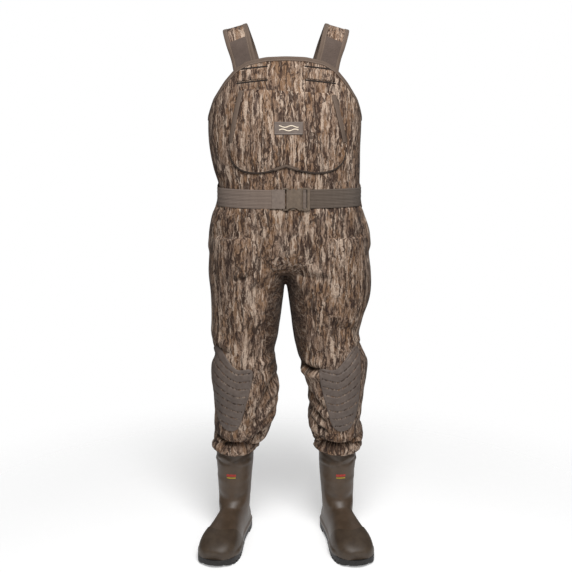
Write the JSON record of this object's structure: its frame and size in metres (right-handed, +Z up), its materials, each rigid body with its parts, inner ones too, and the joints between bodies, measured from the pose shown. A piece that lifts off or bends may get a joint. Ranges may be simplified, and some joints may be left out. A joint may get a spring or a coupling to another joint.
{
  "type": "chest waders",
  "caption": "Camouflage neoprene chest waders with a bib, shoulder straps, chest pocket, waist belt with a side-release buckle, knee pads and attached rubber boots.",
  "frame": {"origin": "on the floor, midway between the boots, at the middle of the bounding box's base", "axes": "+Z up to the wearer's shoulders; -Y the way the wearer faces; +X the wearer's left; stored as worn, standing"},
  "size_m": [0.4976, 0.3437, 1.484],
  "materials": {
    "camo_neoprene": "bark-streak camouflage jersey laminated on foam neoprene",
    "edge_tape": "grey-brown folded stretch tape",
    "hook_and_loop": "brushed loop and hook strip",
    "rubber_label": "matt moulded patch",
    "webbing": "ribbed polypropylene webbing",
    "buckle_plastic": "moulded acetal",
    "knee_rubber": "rubberised knee panel with a chevron pattern",
    "boot_rubber": "satin moulded rubber",
    "boot_lining": "insulated jersey lining",
    "outsole_rubber": "matt lugged rubber"
  },
  "bodies": {
    "torso": {"bib_front": "camo_neoprene", "back_panel": "camo_neoprene", "top_binding": "edge_tape", "chest_pocket": "camo_neoprene", "pocket_binding_left": "edge_tape", "pocket_binding_right": "edge_tape", "label_patch": "rubber_label", "strap_keeper_left": "camo_neoprene", "strap_keeper_right": "camo_neoprene", "hook_patch_left": "hook_and_loop", "hook_patch_right": "hook_and_loop", "belt_webbing": "webbing", "belt_end_fold": "webbing", "belt_loop_left": "webbing", "belt_loop_right": "webbing", "belt_loop_back": "webbing", "buckle_socket": "buckle_plastic", "seat_left": "camo_neoprene", "seat_right": "camo_neoprene", "strap_root_left": "camo_neoprene", "strap_root_right": "camo_neoprene"},
    "thigh_left": {"thigh_left": "camo_neoprene", "knee_section_left": "camo_neoprene", "knee_pad_left": "knee_rubber"},
    "shin_left": {"shin_left": "camo_neoprene", "leg_cuff_left": "camo_neoprene", "boot_shaft_left": "boot_rubber", "boot_lining_left": "boot_lining", "boot_ankle_left": "boot_rubber"},
    "foot_left": {"boot_foot_left": "boot_rubber", "toe_rand_left": "boot_rubber", "insole_left": "boot_lining", "outsole_left": "outsole_rubber"},
    "strap_left": {"shoulder_strap_left": "camo_neoprene", "strap_binding_left": "edge_tape", "loop_patch_left": "hook_and_loop"},
    "thigh_right": {"thigh_right": "camo_neoprene", "knee_section_right": "camo_neoprene", "knee_pad_right": "knee_rubber"},
    "shin_right": {"shin_right": "camo_neoprene", "leg_cuff_right": "camo_neoprene", "boot_shaft_right": "boot_rubber", "boot_lining_right": "boot_lining", "boot_ankle_right": "boot_rubber"},
    "foot_right": {"boot_foot_right": "boot_rubber", "toe_rand_right": "boot_rubber", "insole_right": "boot_lining", "outsole_right": "outsole_rubber"},
    "strap_right": {"shoulder_strap_right": "camo_neoprene", "strap_binding_right": "edge_tape", "loop_patch_right": "hook_and_loop"},
    "buckle_male": {"buckle_plug": "buckle_plastic", "belt_tail": "webbing"},
    "prong_upper": {"buckle_prong_upper": "buckle_plastic"},
    "prong_lower": {"buckle_prong_lower": "buckle_plastic"}
  },
  "joints": [
    {"name": "hip_left", "type": "hinge", "parent": "torso", "child": "thigh_left", "pos_m": [0.112, 0.046, 0.86], "axis": [-1, 0, 0], "range_deg": [-10, 75], "deforming": ["seat_left"]},
    {"name": "knee_left", "type": "hinge", "parent": "thigh_left", "child": "shin_left", "pos_m": [0.128, 0.043, 0.498], "axis": [1, 0, 0], "range_deg": [0, 90], "deforming": ["knee_section_left", "knee_pad_left"]},
    {"name": "ankle_left", "type": "hinge", "parent": "shin_left", "child": "foot_left", "pos_m": [0.153, 0.065, 0.1], "axis": [-1, 0, 0], "range_deg": [-15, 20], "stiffness_Nm_per_rad": 20, "deforming": ["boot_ankle_left"]},
    {"name": "strap_lift_left", "type": "hinge", "parent": "torso", "child": "strap_left", "pos_m": [0.092, 0.1415, 1.3085], "axis": [-1, 0, 0], "range_deg": [0, 85], "deforming": ["strap_root_left"]},
    {"name": "hip_right", "type": "hinge", "parent": "torso", "child": "thigh_right", "pos_m": [-0.112, 0.046, 0.86], "axis": [-1, 0, 0], "range_deg": [-10, 75], "deforming": ["seat_right"]},
    {"name": "knee_right", "type": "hinge", "parent": "thigh_right", "child": "shin_right", "pos_m": [-0.128, 0.043, 0.498], "axis": [1, 0, 0], "range_deg": [0, 90], "deforming": ["knee_section_right", "knee_pad_right"]},
    {"name": "ankle_right", "type": "hinge", "parent": "shin_right", "child": "foot_right", "pos_m": [-0.153, 0.065, 0.1], "axis": [-1, 0, 0], "range_deg": [-15, 20], "stiffness_Nm_per_rad": 20, "deforming": ["boot_ankle_right"]},
    {"name": "strap_lift_right", "type": "hinge", "parent": "torso", "child": "strap_right", "pos_m": [-0.092, 0.1415, 1.3085], "axis": [-1, 0, 0], "range_deg": [0, 85], "deforming": ["strap_root_right"]},
    {"name": "buckle_release", "type": "slide", "parent": "torso", "child": "buckle_male", "axis": [1, 0, 0], "range_m": [0, 0.04]},
    {"name": "prong_squeeze_upper", "type": "hinge", "parent": "buckle_male", "child": "prong_upper", "pos_m": [0.0402, -0.0925, 1.0355], "axis": [0, -1, 0], "range_deg": [0, 6], "stiffness_Nm_per_rad": 0.05},
    {"name": "prong_squeeze_lower", "type": "hinge", "parent": "buckle_male", "child": "prong_lower", "pos_m": [0.0402, -0.0925, 0.9935], "axis": [0, 1, 0], "range_deg": [0, 6], "stiffness_Nm_per_rad": 0.05}
  ],
  "couplings": [
    {"joint": "prong_squeeze_lower", "follows": "prong_squeeze_upper", "ratio": 1}
  ]
}
